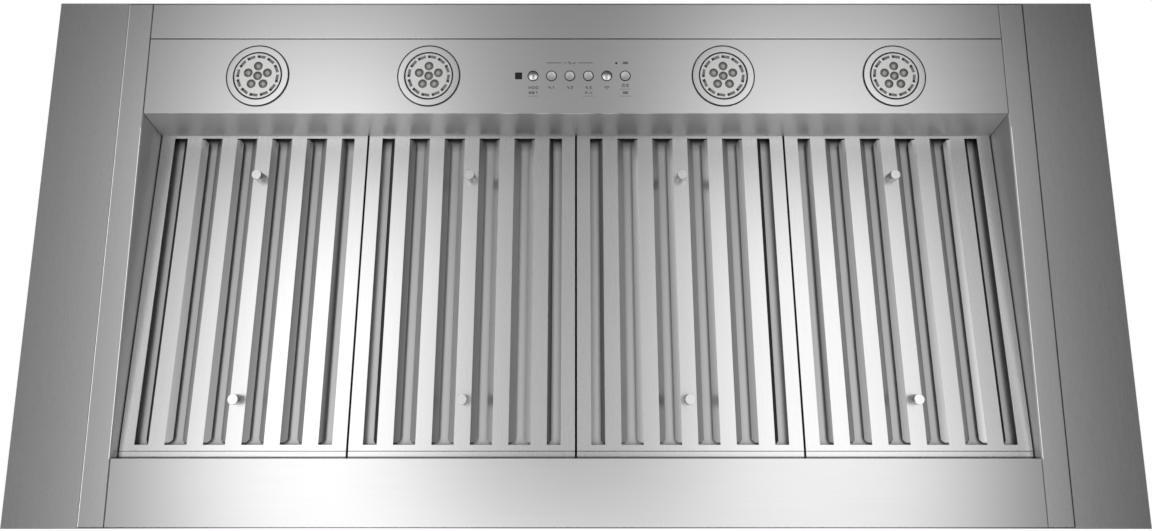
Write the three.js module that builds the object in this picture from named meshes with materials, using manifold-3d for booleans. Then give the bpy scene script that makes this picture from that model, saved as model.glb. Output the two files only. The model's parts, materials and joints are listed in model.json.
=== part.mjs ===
// Island range hood: a hollow steel canopy hung from the ceiling on a telescopic frame, with baffle
// filters, lamps and push buttons on its underside and a twin blower inside.
// Millimetres, +Z up. The origin is the centre of the ceiling bracket's top face; the hood hangs
// below it. +X runs along the hood's length and -Y is the side with the controls.

import * as THREE from "three";
import { ConvexGeometry } from "three/addons/geometries/ConvexGeometry.js";
import { mergeVertices } from "three/addons/utils/BufferGeometryUtils.js";
import Module from "manifold-3d";

const wasm = await Module();
wasm.setup();

// ---------------------------------------------------------------- driving dimensions

const hoodWidth = 1371.6; // 54 in, along X
const hoodDepth = 657; // along Y
const overallHeight = 864; // ceiling to underside
const bandHeight = 76; // upright band round the foot of the canopy
const canopyHeight = 381;
const canopyStep = 20; // flat margin round the chimney's foot

const sheet = 1.2; // visible stainless sheet
const fine = 24; // facets of the round pieces that show
const coarse = 12; // facets of small and hidden ones
const fit = 0.3; // gap left between pieces that touch
const bend = 1.2; // the side rails' rounded fold, as a flat across the corner
const seam = 0.7; // open joint between neighbouring strips of the underside
const lip = 12; // height of the strips' turned-up edges

// Strips of the underside, measured across each one.
const sideFlange = 91; // in-turned foot of the canopy's ends
const sideRail = 32;
const frontStrip = 49.4;
const fasciaDepth = 100.7;
const rearStrip = 79.6;

// The recess that holds the filters: deep at the front, shallow at the rear.
const recessFront = 59.5; // filter face above the underside, at the fascia's inner wall
const recessRear = 17.7; // the same, at the rear strip's edge
const wallLean = 18.2; // how far the fascia's inner wall leans back over its height

const filterCount = 4;
const filterGap = 1.8; // between neighbouring filters
const filterSheet = 1;
const filterHeight = 14;
const frontLap = 14; // hidden behind the fascia's wall
const rearLap = 12; // hidden above the rear strip
const frontRail = 3.6; // solid band between the wall and the slots
const rearRail = 13.7; // solid band between the slots and the rear strip's edge
const stepPlace = 6.7; // the rear band's step, ahead of the rear strip's edge
const step = { run: 0.8, rise: 0.6 }; // lifts the rear band out of the filter's face
const barWidth = 20;
const endStrip = 16; // least width of the plain strips at a filter's sides
const slotWidth = 27.3;
const endSlotWidth = 17.2;
const flangeReach = 7.8; // folded slot edges, across the slot
const flangeRise = 5.2;
const endFlangeReach = 5.4;
const flangeEnd = 1.5; // folded edges stop this short of the slot's ends
const webWidth = 26; // rear baffle's strip behind each slot
const webHeight = 12; // rear baffle above the front face
const hookReach = 4.2; // rear baffle's folded edges, down over the bars
const hookDrop = 5;

const knobRadius = 6.3;
const knobLength = 19;
const knobInset = { front: 58.5, rear: 67.2 }; // from the ends of the recess, along the filter

const lampShares = [0.343, 0.7415]; // lamps' centres, as shares of half the opening's width
const lampLine = 50.3; // centres behind the fascia's front edge
const lampRingWidth = 9.2;
const lampRingThickness = 1.2;
const lampRadius = 31;
const lampGroove = 1.1;
const lampCanHeight = 62;
const lampLength = 52;
const socketRadius = 15;
const socketLength = 14;
const lensRadius = 5.5;
const lensCircle = 13.2;
const lensDepth = 3;
const lensCount = 5;
const ventCount = 12;
const ventInset = 5.2; // middles of the vents, in from the lamp's edge
const ventLength = 10.6;
const ventWidth = 3.7;
const ventTurn = 0.14;

const buttonCount = 6;
const buttonPitch = 24.2;
const firstButton = -56.4;
const buttonRadius = 6.15;
const buttonHoleRadius = 7.35;
const buttonProud = 1.2;
const buttonTravel = 1.5;
const domedButtons = [0, 4];
const windowSize = 8.7;
const windowOffset = -18.9; // from the first button
const indicatorRadius = 1.2;
const indicatorOffset = [-11.6, -17.3]; // from the last button
const controlBox = { margin: 25, depth: 62, height: 36 }; // margin beyond the window and the last button
const boardThickness = 1.6;
const switchHeight = 3.5;
const buttonDepth = 14; // from the collars behind the fascia to the circuit board

// The twin blower: the scroll's radius grows from start to end round the impellers' axis, which
// hangs by drop below the scroll's top.
const blower = { width: 330, drop: 141.2, inlet: 60, start: 86, end: 125, rim: 12 };
const impeller = { radius: 75, width: 84, ring: 4, back: 2, hub: 14, hubLength: 24, clearance: 8 };
const blade = { count: 12, thickness: 1.6, sweep: 0.16 };
const motor = { radius: 48, length: 104, boss: 20, bossLength: 8 };
const shaftRadius = 4;

const topPlate = 2;
const collarRadius = 101.6; // 8 in duct
const collarWall = 0.8;
const collarHeight = 60;
const collarFlange = 18;
const pinRadius = 2.5;
const pinHeight = 30;
const flapSheet = 1;
const knuckle = { wall: 1.5, half: 9, front: [-30, 30], rear: [-52, 52] }; // places along the pin

const chimneyWidth = 420;
const ductClearance = 48.4; // between the collar and the chimney's front and rear
const chimneySheet = 1;
const lowerCoverHeight = 280;
const coverOverlap = 100;
const slideGap = 0.6;

const frameSheet = 2;
const postWidth = 25;
const bracketFlange = 30;
const bracketRim = 37; // width of the ceiling bracket's plate, round its opening
const lowerFrameHeight = 320;
const frameOverlap = 100;
const screwSlot = { length: 24, width: 8, inset: 60 };
const wiringBox = { width: 52, depth: 90, height: 45, knockout: 11 };

// ---------------------------------------------------------------- derived places, from the underside up

const halfWidth = hoodWidth / 2;
const halfDepth = hoodDepth / 2;
const railOuter = halfWidth - sideFlange;
const openingHalf = railOuter - sideRail; // half the opening between the side rails
const fasciaFront = -halfDepth + frontStrip;
const openingFront = fasciaFront + fasciaDepth;
const openingRear = halfDepth - rearStrip;
const wallTop = openingFront + wallLean; // Y of the fascia wall's upper edge

const tilt = Math.atan2(recessFront - recessRear, openingRear - wallTop);
const openingLength = (openingRear - wallTop) / Math.cos(tilt); // along the filters
const filterPitch = (2 * openingHalf) / filterCount;
const filterWidth = filterPitch - filterGap;
const slotStart = frontRail;
const slotEnd = openingLength - rearRail;
const stepStart = openingLength - stepPlace;
const knobPlaces = { front: knobInset.front, rear: openingLength - knobInset.rear };
const barPitch = barWidth + slotWidth;
const barRoom = filterWidth - 2 * (endStrip + endSlotWidth) - barWidth;
const barCount = Math.floor(barRoom / barPitch) + 1;
const knobBar = barCount % 2 === 1 ? 0 : barPitch / 2; // the knobs stand on a bar near the middle

const controlLine = fasciaFront + lampLine;
const [innerLamp, outerLamp] = lampShares.map((share) => share * openingHalf);
const lampPlaces = [-outerLamp, -innerLamp, innerLamp, outerLamp];
const lampRingRadius = lampRadius + lampGroove + lampRingWidth;
const ventCircle = lampRadius - ventInset;
const lastButton = firstButton + (buttonCount - 1) * buttonPitch;
const windowPlace = firstButton + windowOffset;
const indicatorPlace = [lastButton + indicatorOffset[0], controlLine + indicatorOffset[1]];
const controlMiddle = (windowPlace + lastButton) / 2;
const controlWidth = lastButton - windowPlace + 2 * controlBox.margin;
const insideBottom = sheet + fit; // lowest level of what rests on the strips
const plateTop = canopyHeight - sheet - fit; // upper face of the canopy's top plate
const blowerAxis = plateTop - topPlate - fit - blower.drop;
const collarBottom = plateTop + fit;
const boardBottom = insideBottom + buttonDepth;
const wiringPlace = collarRadius + collarFlange + 6 + wiringBox.width / 2;
const chimneyDepth = 2 * (collarRadius + ductClearance);
const canopyTop = { x: chimneyWidth / 2 + canopyStep, y: chimneyDepth / 2 + canopyStep };
const topOpening = { x: wiringPlace + wiringBox.width / 2 + 12, y: collarRadius + collarFlange + 12 };

// Each box stands inside the last: lower cover, upper cover, ceiling bracket, upper and lower frames.
const upperCoverBottom = canopyHeight + lowerCoverHeight - coverOverlap;
const upperCover = {
  width: chimneyWidth - 2 * (chimneySheet + slideGap),
  depth: chimneyDepth - 2 * (chimneySheet + slideGap),
};
const bracketHalf = {
  x: upperCover.width / 2 - chimneySheet - fit,
  y: upperCover.depth / 2 - chimneySheet - fit,
};
const inward = (half) => ({ x: half.x - frameSheet - fit, y: half.y - frameSheet - fit });
const upperFrameHalf = inward(bracketHalf);
const lowerFrameHalf = inward(upperFrameHalf);
const lowerFrameTop = canopyHeight + lowerFrameHeight;

// ---------------------------------------------------------------- materials and the assembly

const finishes = {
  brushed: { color: 0xb9babc, roughness: 0.34, metalness: 1 },
  polished: { color: 0xd0d1d3, roughness: 0.2, metalness: 1 },
  galvanised: { color: 0x9a9ea2, roughness: 0.5, metalness: 0.9 },
  darkPlastic: { color: 0x17181a, roughness: 0.35, metalness: 0 },
  greyPlastic: { color: 0x55585c, roughness: 0.6, metalness: 0 },
  lampFace: { color: 0xd4d4d2, roughness: 0.4, metalness: 0.2 },
  circuitBoard: { color: 0x1f4a33, roughness: 0.5, metalness: 0 },
};

const assembly = new THREE.Group();
const hood = new THREE.Group(); // its origin is on the underside
hood.position.z = -overallHeight;
assembly.add(hood);

function addPiece(name, geometry, finish, parent = hood) {
  const mesh = new THREE.Mesh(geometry, new THREE.MeshStandardMaterial(finishes[finish]));
  mesh.name = name;
  parent.add(mesh);
  return mesh;
}

// ---------------------------------------------------------------- shapes and solids

const quadrants = [
  [-1, -1],
  [-1, 1],
  [1, -1],
  [1, 1],
];

// A polyline moved to its left by a sheet's thickness.
function offsetLine(line, thickness) {
  const normals = line.slice(1).map((point, i) => {
    const along = point.clone().sub(line[i]).normalize();
    return new THREE.Vector2(-along.y, along.x);
  });
  return line.map((point, i) => {
    const before = normals[Math.max(i - 1, 0)];
    const after = normals[Math.min(i, normals.length - 1)];
    const mitre = before.clone().add(after).normalize();
    return point.clone().addScaledVector(mitre, thickness / mitre.dot(after));
  });
}

const vectors = (points) => points.map(([u, v]) => new THREE.Vector2(u, v));

// The sheet section that follows a polyline, with the thickness on its left.
function sheetSection(points, thickness) {
  const line = vectors(points);
  return new THREE.Shape([...line, ...offsetLine(line, thickness).reverse()]);
}

function rectangle(width, depth) {
  const shape = new THREE.Shape();
  shape.moveTo(-width / 2, -depth / 2);
  shape.lineTo(width / 2, -depth / 2);
  shape.lineTo(width / 2, depth / 2);
  shape.lineTo(-width / 2, depth / 2);
  shape.closePath();
  return shape;
}

function extrude(shape, length, curveSegments = 12) {
  return new THREE.ExtrudeGeometry(shape, { depth: length, bevelEnabled: false, curveSegments });
}

// A section drawn in (Y, Z), run along X and centred on it.
function alongX(shape, length, curveSegments) {
  const turn = new THREE.Matrix4().makeBasis(
    new THREE.Vector3(0, 1, 0),
    new THREE.Vector3(0, 0, 1),
    new THREE.Vector3(1, 0, 0),
  );
  return extrude(shape, length, curveSegments).translate(0, 0, -length / 2).applyMatrix4(turn);
}

// A section drawn in (X, Z), run along Y and centred on it.
function alongY(shape, length) {
  const turn = new THREE.Matrix4().makeBasis(
    new THREE.Vector3(1, 0, 0),
    new THREE.Vector3(0, 0, 1),
    new THREE.Vector3(0, -1, 0),
  );
  return extrude(shape, length).translate(0, 0, -length / 2).applyMatrix4(turn);
}

// A box between any two opposite corners.
function block(from, to) {
  const size = to.map((value, i) => Math.abs(value - from[i]));
  const middle = to.map((value, i) => (value + from[i]) / 2);
  return new THREE.BoxGeometry(...size).translate(...middle);
}

function revolve(points, segments) {
  return new THREE.LatheGeometry(
    points.map(([r, z]) => new THREE.Vector2(r, z)),
    segments,
  ).rotateX(Math.PI / 2);
}

function rod(radius, bottom, top, segments = coarse) {
  return revolve([[0, bottom], [radius, bottom], [radius, top], [0, top]], segments);
}

function solid(geometry) {
  const bare = geometry.clone();
  bare.deleteAttribute("normal");
  bare.deleteAttribute("uv");
  const merged = mergeVertices(bare, 1e-4);
  const mesh = new wasm.Mesh({
    numProp: 3,
    vertProperties: new Float32Array(merged.attributes.position.array),
    triVerts: new Uint32Array(merged.index.array),
  });
  return new wasm.Manifold(mesh);
}

function geometryOf(body) {
  const mesh = body.getMesh();
  const geometry = new THREE.BufferGeometry();
  geometry.setAttribute("position", new THREE.BufferAttribute(mesh.vertProperties, 3));
  geometry.setIndex(new THREE.BufferAttribute(mesh.triVerts, 1));
  const flat = geometry.toNonIndexed();
  flat.computeVertexNormals();
  return flat;
}

function join(...geometries) {
  return geometries.map(solid).reduce((whole, next) => whole.add(next));
}

function cut(body, ...geometries) {
  return geometries.map(solid).reduce((rest, next) => rest.subtract(next), body);
}

// ---------------------------------------------------------------- canopy

// The canopy's outer form, drawn in by an amount on every side.
function canopyForm(inset, bottom, top) {
  const levels = [
    [halfWidth, halfDepth, bottom],
    [halfWidth, halfDepth, bandHeight - inset / 2],
    [canopyTop.x, canopyTop.y, top],
  ];
  const corners = levels.flatMap(([x, y, z]) =>
    quadrants.map(([sx, sy]) => new THREE.Vector3(sx * (x - inset), sy * (y - inset), z)),
  );
  return new ConvexGeometry(corners);
}

function canopyShell() {
  const shell = cut(
    solid(canopyForm(0, 0, canopyHeight)),
    canopyForm(sheet, sheet, canopyHeight - sheet),
    block([-railOuter, -halfDepth + sheet, -1], [railOuter, halfDepth - sheet, sheet + 1]),
    block(
      [-topOpening.x, -topOpening.y, canopyHeight - sheet - 1],
      [topOpening.x, topOpening.y, canopyHeight + 1],
    ),
  );
  return geometryOf(shell);
}

function canopyTopPlate() {
  const margin = 22; // clear of the sloping walls
  const x = canopyTop.x - margin;
  const y = canopyTop.y - margin;
  const plate = cut(
    solid(block([-x, -y, plateTop - topPlate], [x, y, plateTop])),
    rod(collarRadius, plateTop - topPlate - 1, plateTop + 1, 24),
  );
  return geometryOf(plate);
}

// ---------------------------------------------------------------- strips of the underside

// Runs from the outer wall to the recess, where it turns up to the height of the filters.
function sideRailPiece(side) {
  const outer = side * (railOuter - seam);
  const inner = side * openingHalf;
  const fold = [[inner + side * bend, 0], [inner, bend]];
  const line = [[outer, lip], [outer, 0], ...fold, [inner, recessFront]];
  return alongY(sheetSection(line, side * -sheet), hoodDepth - 2 * (sheet + seam));
}

function frontRailPiece() {
  const front = -halfDepth + sheet + seam;
  const rear = fasciaFront - seam;
  const section = sheetSection([[front, lip], [front, 0], [rear, 0], [rear, lip]], sheet);
  return alongX(section, 2 * (openingHalf - seam));
}

// The filters' rear edges rest on its inner lip.
function rearRailPiece() {
  const front = openingRear;
  const rear = halfDepth - sheet - seam;
  const seat = recessRear + step.rise / Math.cos(tilt) - sheet * Math.tan(tilt) - fit;
  const section = sheetSection([[front, seat], [front, 0], [rear, 0], [rear, lip]], sheet);
  return alongX(section, 2 * (openingHalf - seam));
}

// Holds the lamps and the buttons; its inner wall leans back over the recess and ends in a ledge
// that carries the filters' front edges.
function fasciaPiece() {
  const ledge = frontLap - fit;
  const ledgeHeight = recessFront - fit;
  const section = sheetSection(
    [
      [fasciaFront, lip],
      [fasciaFront, 0],
      [openingFront, 0],
      [wallTop, ledgeHeight],
      [wallTop - ledge * Math.cos(tilt), ledgeHeight + ledge * Math.sin(tilt)],
    ],
    sheet,
  );
  const holes = lampPlaces.map((x) => hole(x, controlLine, lampRadius + lampGroove + sheet + 1, fine));
  for (let i = 0; i < buttonCount; i += 1) {
    holes.push(hole(firstButton + i * buttonPitch, controlLine, buttonHoleRadius, coarse));
  }
  const half = windowSize / 2 + fit;
  holes.push(
    block([-half, -half, -1], [half, half, sheet + 1]).translate(windowPlace, controlLine, 0),
    hole(...indicatorPlace, indicatorRadius + fit, 8),
  );
  return geometryOf(cut(solid(alongX(section, 2 * (openingHalf - seam))), ...holes));
}

function hole(x, y, radius, segments) {
  return rod(radius, -1, sheet + 1, segments).translate(x, y, 0);
}

// ---------------------------------------------------------------- baffle filters

// In a filter's own frame X is across it, Y runs from the fascia's wall to the rear and Z = 0 is
// its lower face.

// A slot's edge folded out of the sheet. Its free corners are cut off, and it leans over the slot:
// towards +X or -X by side, and up or down by rise.
function slotFlange(edge, level, side, rise, reach, lift) {
  const width = Math.hypot(reach, lift);
  const length = slotEnd - slotStart - 2 * flangeEnd;
  const corner = width * 0.5;
  const outline = new THREE.Shape([
    new THREE.Vector2(-length / 2, 0),
    new THREE.Vector2(length / 2, 0),
    new THREE.Vector2(length / 2, width - corner),
    new THREE.Vector2(length / 2 - corner, width),
    new THREE.Vector2(corner - length / 2, width),
    new THREE.Vector2(-length / 2, width - corner),
  ]);
  const lean = new THREE.Vector3((side * reach) / width, 0, (rise * lift) / width);
  const through = new THREE.Vector3((-side * lift) / width, 0, (rise * reach) / width);
  const along = new THREE.Vector3(0, -side * rise, 0);
  const fold = new THREE.Matrix4().makeBasis(along, lean, through);
  const root = 0.2; // how far inside the sheet the fold starts
  fold.setPosition(edge - side * root, (slotStart + slotEnd) / 2, level + (rise * root) / 4);
  return extrude(outline, filterSheet).applyMatrix4(fold);
}

function slotHole([low, high]) {
  return block([low, slotStart, -1], [high, slotEnd, filterHeight + 1]);
}

// Openings of the front baffle, from one side to the other: narrow, wide ones between bars, narrow.
function frontSlots() {
  const barsHalf = ((barCount - 1) * barPitch + barWidth) / 2;
  const wide = [];
  for (let i = 0; i < barCount - 1; i += 1) {
    const low = -barsHalf + i * barPitch + barWidth;
    wide.push([low, low + slotWidth]);
  }
  const left = [-barsHalf - endSlotWidth, -barsHalf];
  const right = [barsHalf, barsHalf + endSlotWidth];
  return { wide, left, right };
}

function frontBaffle() {
  const rear = openingLength + rearLap;
  const edge = vectors([
    [-frontLap, filterHeight],
    [-frontLap, 0],
    [stepStart, 0],
    [stepStart + step.run, step.rise],
    [rear, step.rise],
    [rear, filterHeight],
  ]);
  const inside = offsetLine(edge, filterSheet);
  inside[0].y += 1;
  inside[inside.length - 1].y += 1;
  const { wide, left, right } = frontSlots();
  const folds = wide.flatMap(([low, high]) => [
    slotFlange(low, 0, 1, 1, flangeReach, flangeRise),
    slotFlange(high, 0, -1, 1, flangeReach, flangeRise),
  ]);
  folds.push(slotFlange(left[1], 0, -1, 1, endFlangeReach, flangeRise));
  folds.push(slotFlange(right[0], 0, 1, 1, endFlangeReach, flangeRise));
  const body = cut(
    solid(alongX(new THREE.Shape(edge), filterWidth)),
    alongX(new THREE.Shape(inside), filterWidth - 2 * filterSheet),
    ...[...wide, left, right].map(slotHole),
  );
  return geometryOf(body.add(join(...folds)));
}

// Stands inside the front baffle's rim, with a strip behind each slot and an opening over each bar.
function rearBaffle() {
  const half = filterWidth / 2 - filterSheet - fit;
  const front = -frontLap + filterSheet + fit;
  const rear = stepStart - fit;
  const foot = filterSheet + fit;
  const top = webHeight + filterSheet;
  const openings = [];
  for (let i = 0; i < barCount; i += 1) {
    const middle = (i - (barCount - 1) / 2) * barPitch;
    const reach = (barPitch - webWidth) / 2;
    openings.push([middle - reach, middle + reach]);
  }
  const hooks = openings.flatMap(([low, high]) => [
    slotFlange(low, top, 1, -1, hookReach, hookDrop),
    slotFlange(high, top, -1, -1, hookReach, hookDrop),
  ]);
  const body = cut(
    solid(block([-half, front, foot], [half, rear, top])),
    block(
      [filterSheet - half, front + filterSheet, foot - 1],
      [half - filterSheet, rear - filterSheet, top - filterSheet],
    ),
    ...openings.map(slotHole),
  );
  return geometryOf(body.add(join(...hooks)));
}

function knob() {
  const chamfer = 0.7;
  const top = -fit;
  const tip = top - knobLength;
  return revolve(
    [
      [0, tip],
      [knobRadius - chamfer, tip],
      [knobRadius, tip + chamfer],
      [knobRadius, top],
      [0, top],
    ],
    coarse,
  );
}

function addFilter(index) {
  const place = new THREE.Group();
  place.position.set((index - (filterCount - 1) / 2) * filterPitch, wallTop, recessFront);
  place.rotation.x = -tilt;
  hood.add(place);
  const name = `filter_${index + 1}`;
  addPiece(`${name}_front_baffle`, frontBaffle(), "brushed", place);
  addPiece(`${name}_rear_baffle`, rearBaffle(), "brushed", place);
  for (const end of ["front", "rear"]) {
    addPiece(`${name}_${end}_knob`, knob(), "polished", place).position.set(knobBar, knobPlaces[end], 0);
  }
}

// ---------------------------------------------------------------- lamps

// Flange below the fascia and can above it, spun from one disc; the lamp's neck stands in the roof.
function lampHolder() {
  const inner = lampRadius + lampGroove;
  const outer = inner + sheet;
  const bottom = -fit - lampRingThickness;
  return revolve(
    [
      [inner, bottom],
      [lampRingRadius, bottom],
      [lampRingRadius, -fit],
      [outer, -fit],
      [outer, lampCanHeight],
      [socketRadius, lampCanHeight],
      [socketRadius, lampCanHeight - sheet],
      [inner, lampCanHeight - sheet],
      [inner, bottom],
    ],
    fine,
  );
}

// Reflector lamp: a face with a rim, lens wells and a ring of vents, on a tapered body.
function lamp() {
  const rim = 1.6;
  const face = 0.5; // above the rim's edge
  const neck = socketRadius - fit;
  const shoulder = 14;
  const outline = revolve(
    [
      [0, face],
      [lampRadius - rim, face],
      [lampRadius - rim, 0],
      [lampRadius, 0],
      [lampRadius, shoulder],
      [neck, lampLength],
      [neck, lampCanHeight + socketLength],
      [0, lampCanHeight + socketLength],
    ],
    fine,
  );
  const cuts = [lensWell(face)];
  for (let i = 0; i < lensCount; i += 1) {
    const angle = (i / lensCount) * 2 * Math.PI - Math.PI / 2;
    cuts.push(lensWell(face).translate(lensCircle * Math.cos(angle), lensCircle * Math.sin(angle), 0));
  }
  for (let i = 0; i < ventCount; i += 1) {
    const vent = block(
      [ventCircle - ventWidth / 2, -ventLength / 2, face - 1],
      [ventCircle + ventWidth / 2, ventLength / 2, face + 1.5],
    );
    cuts.push(vent.rotateZ((i / ventCount) * 2 * Math.PI + ventTurn));
  }
  return geometryOf(cut(solid(outline), ...cuts));
}

// What is hollowed out round one domed lens.
function lensWell(face) {
  return revolve(
    [
      [0, face - 1],
      [lensRadius, face - 1],
      [lensRadius, face + lensDepth],
      [0, face + lensDepth * 0.3],
    ],
    8,
  );
}

// ---------------------------------------------------------------- controls

// Cap through the fascia, with a collar behind it that keeps it in and a stem to its switch.
function button(domed) {
  const dish = domed ? 1.1 : -0.5; // middle of the face, out from its edge
  const edge = -buttonProud + (domed ? 0.9 : 0);
  const collar = buttonHoleRadius + 1.2;
  const face = [0, 0.6].map((share) => [share * buttonRadius, edge - dish * (1 - share * share)]);
  return revolve(
    [
      ...face,
      [buttonRadius, edge],
      [buttonRadius, insideBottom],
      [collar, insideBottom],
      [collar, insideBottom + 1.2],
      [2.5, insideBottom + 1.2],
      [2.5, boardBottom - switchHeight - buttonTravel - fit],
      [0, boardBottom - switchHeight - buttonTravel - fit],
    ],
    coarse,
  );
}

function statusWindow() {
  const half = windowSize / 2;
  return geometryOf(
    join(
      block([-half, -half, -0.1], [half, half, insideBottom + 0.5]),
      block([-half - 2, -half - 2, insideBottom], [half + 2, half + 2, insideBottom + 1.2]),
    ),
  );
}

function indicator() {
  return revolve(
    [
      [0, -0.4],
      [indicatorRadius * 0.7, -0.2],
      [indicatorRadius, 0.2],
      [indicatorRadius, insideBottom],
      [indicatorRadius + 1.5, insideBottom],
      [indicatorRadius + 1.5, boardBottom - fit],
      [0, boardBottom - fit],
    ],
    8,
  );
}

// Circuit board, with a switch over each button's stem.
function controlBoard() {
  const x = controlWidth / 2 - sheet - 2;
  const y = controlBox.depth / 2 - sheet - 2;
  const switchHalf = 3;
  const parts = [block([controlMiddle - x, -y, 0], [controlMiddle + x, y, boardThickness])];
  for (let i = 0; i < buttonCount; i += 1) {
    const body = block([-switchHalf, -switchHalf, -switchHeight], [switchHalf, switchHalf, 0.5]);
    parts.push(body.translate(firstButton + i * buttonPitch, 0, 0));
  }
  return geometryOf(join(...parts)).translate(0, controlLine, boardBottom);
}

// Open-bottomed box over the board, which hangs from its posts.
function controlHousing() {
  const x = controlWidth / 2;
  const y = controlBox.depth / 2;
  const top = insideBottom + controlBox.height;
  const postTop = top - sheet / 2;
  const shell = cut(
    solid(block([-x, -y, insideBottom], [x, y, top])),
    block([sheet - x, sheet - y, insideBottom - 1], [x - sheet, y - sheet, top - sheet]),
  );
  const postInset = 12;
  const posts = quadrants.map(([sx, sy]) => {
    const post = rod(3, boardBottom + boardThickness + fit, postTop, 8);
    return post.translate(sx * (x - postInset), sy * (y - postInset), 0);
  });
  return geometryOf(shell.add(join(...posts)).translate([controlMiddle, controlLine, 0]));
}

// ---------------------------------------------------------------- blower

// Side view of the scroll about the impellers' axis, grown outwards by an amount: a spiral that
// opens from the cut-off to the rear wall of the outlet, which leads straight up.
function scrollOutline(grow, top) {
  const steps = 14;
  const first = Math.PI / 4;
  const sweep = (5 / 4) * Math.PI;
  const outline = new THREE.Shape();
  outline.moveTo((blower.start + grow) * Math.cos(first) + grow * 0.3, top);
  for (let i = 0; i <= steps; i += 1) {
    const share = i / steps;
    const angle = first - share * sweep;
    const radius = blower.start + share * (blower.end - blower.start) + grow;
    outline.lineTo(radius * Math.cos(angle), radius * Math.sin(angle));
  }
  outline.lineTo(-blower.end - grow, top);
  outline.closePath();
  return outline;
}

// How far the impellers' axis lies behind the outlet's centre.
const outletMiddle = (blower.end - blower.start * Math.cos(Math.PI / 4)) / 2;

function blowerHousing() {
  const x = blower.width / 2 + blower.rim;
  const front = -blower.end - blower.rim - sheet;
  const rear = blower.start * Math.cos(Math.PI / 4) + blower.rim + sheet;
  const flange = block([-x, front, blower.drop - sheet], [x, rear, blower.drop]);
  const inlet = rod(blower.inlet, -blower.width, blower.width, fine).rotateY(Math.PI / 2);
  const housing = cut(
    join(alongX(scrollOutline(sheet, blower.drop), blower.width), flange),
    alongX(scrollOutline(0, blower.drop + 1), blower.width - 2 * sheet),
    inlet,
  );
  return geometryOf(housing);
}

// Double-ended motor on the plate that divides the scroll.
function blowerMotor() {
  const plate = alongX(scrollOutline(-fit, blower.drop - 40), frameSheet);
  const half = motor.length / 2;
  const can = rod(motor.radius, motor.bossLength - half, half - motor.bossLength);
  const boss = rod(motor.boss, -half, half);
  const bore = rod(shaftRadius + fit, -motor.length, motor.length);
  for (const turned of [can, boss, bore]) turned.rotateY(Math.PI / 2);
  return geometryOf(cut(join(plate, can, boss), bore));
}

function motorShaft() {
  const half = blower.width / 2 - 20;
  return rod(shaftRadius, -half, half).rotateY(Math.PI / 2);
}

// Squirrel-cage wheel with forward-curved blades, its back plate towards the motor.
function wheel(side) {
  const inner = impeller.radius * 0.8;
  const outer = impeller.radius - 0.8;
  const facets = 18;
  const bow = (radius, turn) => new THREE.Vector2(radius * Math.cos(turn), radius * Math.sin(turn));
  const thickness = (side * blade.thickness) / impeller.radius;
  const section = new THREE.Shape([
    bow(inner + 0.5, 0),
    bow(outer, side * blade.sweep),
    bow(outer, side * blade.sweep + thickness),
    bow(inner + 0.5, thickness),
  ]);
  const ring = [
    [inner, impeller.width - impeller.ring],
    [impeller.radius, impeller.width - impeller.ring],
    [impeller.radius, impeller.width],
    [inner, impeller.width],
    [inner, impeller.width - impeller.ring],
  ];
  const parts = [
    rod(impeller.radius, 0, impeller.back, facets),
    rod(impeller.hub, 0, impeller.hubLength),
    revolve(ring, facets),
  ];
  for (let i = 0; i < blade.count; i += 1) {
    const vane = extrude(section, impeller.width - 3).translate(0, 0, 1);
    parts.push(vane.rotateZ((i / blade.count) * 2 * Math.PI));
  }
  const body = cut(join(...parts), rod(shaftRadius + fit, -1, impeller.hubLength + 1));
  const place = side * (motor.length / 2 + impeller.clearance);
  return geometryOf(body).rotateY((side * Math.PI) / 2).translate(place, 0, 0);
}

// ---------------------------------------------------------------- duct collar and damper

function ductCollar() {
  const collar = revolve(
    [
      [collarRadius - collarWall, 0],
      [collarRadius + collarFlange, 0],
      [collarRadius + collarFlange, sheet],
      [collarRadius, sheet],
      [collarRadius, collarHeight],
      [collarRadius - collarWall, collarHeight],
      [collarRadius - collarWall, 0],
    ],
    32,
  );
  const bore = rod(pinRadius + fit, -collarRadius - 20, collarRadius + 20).rotateY(Math.PI / 2);
  return geometryOf(cut(solid(collar), bore.translate(0, 0, pinHeight)));
}

function damperPin() {
  return rod(pinRadius, -collarRadius - 2, collarRadius + 2).rotateY(Math.PI / 2);
}

// Half disc on knuckles round the pin; the two flaps' knuckles stand side by side.
function damperFlap(side, places) {
  const radius = collarRadius - collarWall - 2.5;
  const clearOfPin = pinRadius + fit + 2.2;
  const start = Math.asin(clearOfPin / radius);
  const half = flapSheet / 2;
  const outline = new THREE.Shape();
  outline.absarc(0, 0, radius, start, Math.PI - start);
  outline.closePath();
  const parts = [extrude(outline, flapSheet, 8).translate(0, 0, -half)];
  for (const x of places) {
    const ends = [x - knuckle.half, x + knuckle.half];
    parts.push(
      rod(pinRadius + fit + knuckle.wall, ...ends, 8).rotateY(Math.PI / 2),
      block([ends[0], 0, -half], [ends[1], clearOfPin + 2, half]),
    );
  }
  const bore = rod(pinRadius + fit, -radius, radius, 8).rotateY(Math.PI / 2);
  return geometryOf(cut(join(...parts), bore)).rotateZ(side > 0 ? 0 : Math.PI);
}

// ---------------------------------------------------------------- chimney, frames and ceiling bracket

// Half of a rectangular cover, open towards the other half.
function coverHalf(width, depth, height, side) {
  const x = width / 2;
  const y = depth / 2;
  const seamHalf = seam / 2;
  const section = sheetSection(
    [
      [-x, -seamHalf],
      [-x, -y],
      [x, -y],
      [x, -seamHalf],
    ],
    chimneySheet,
  );
  return extrude(section, height).rotateZ(side < 0 ? 0 : Math.PI);
}

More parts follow.
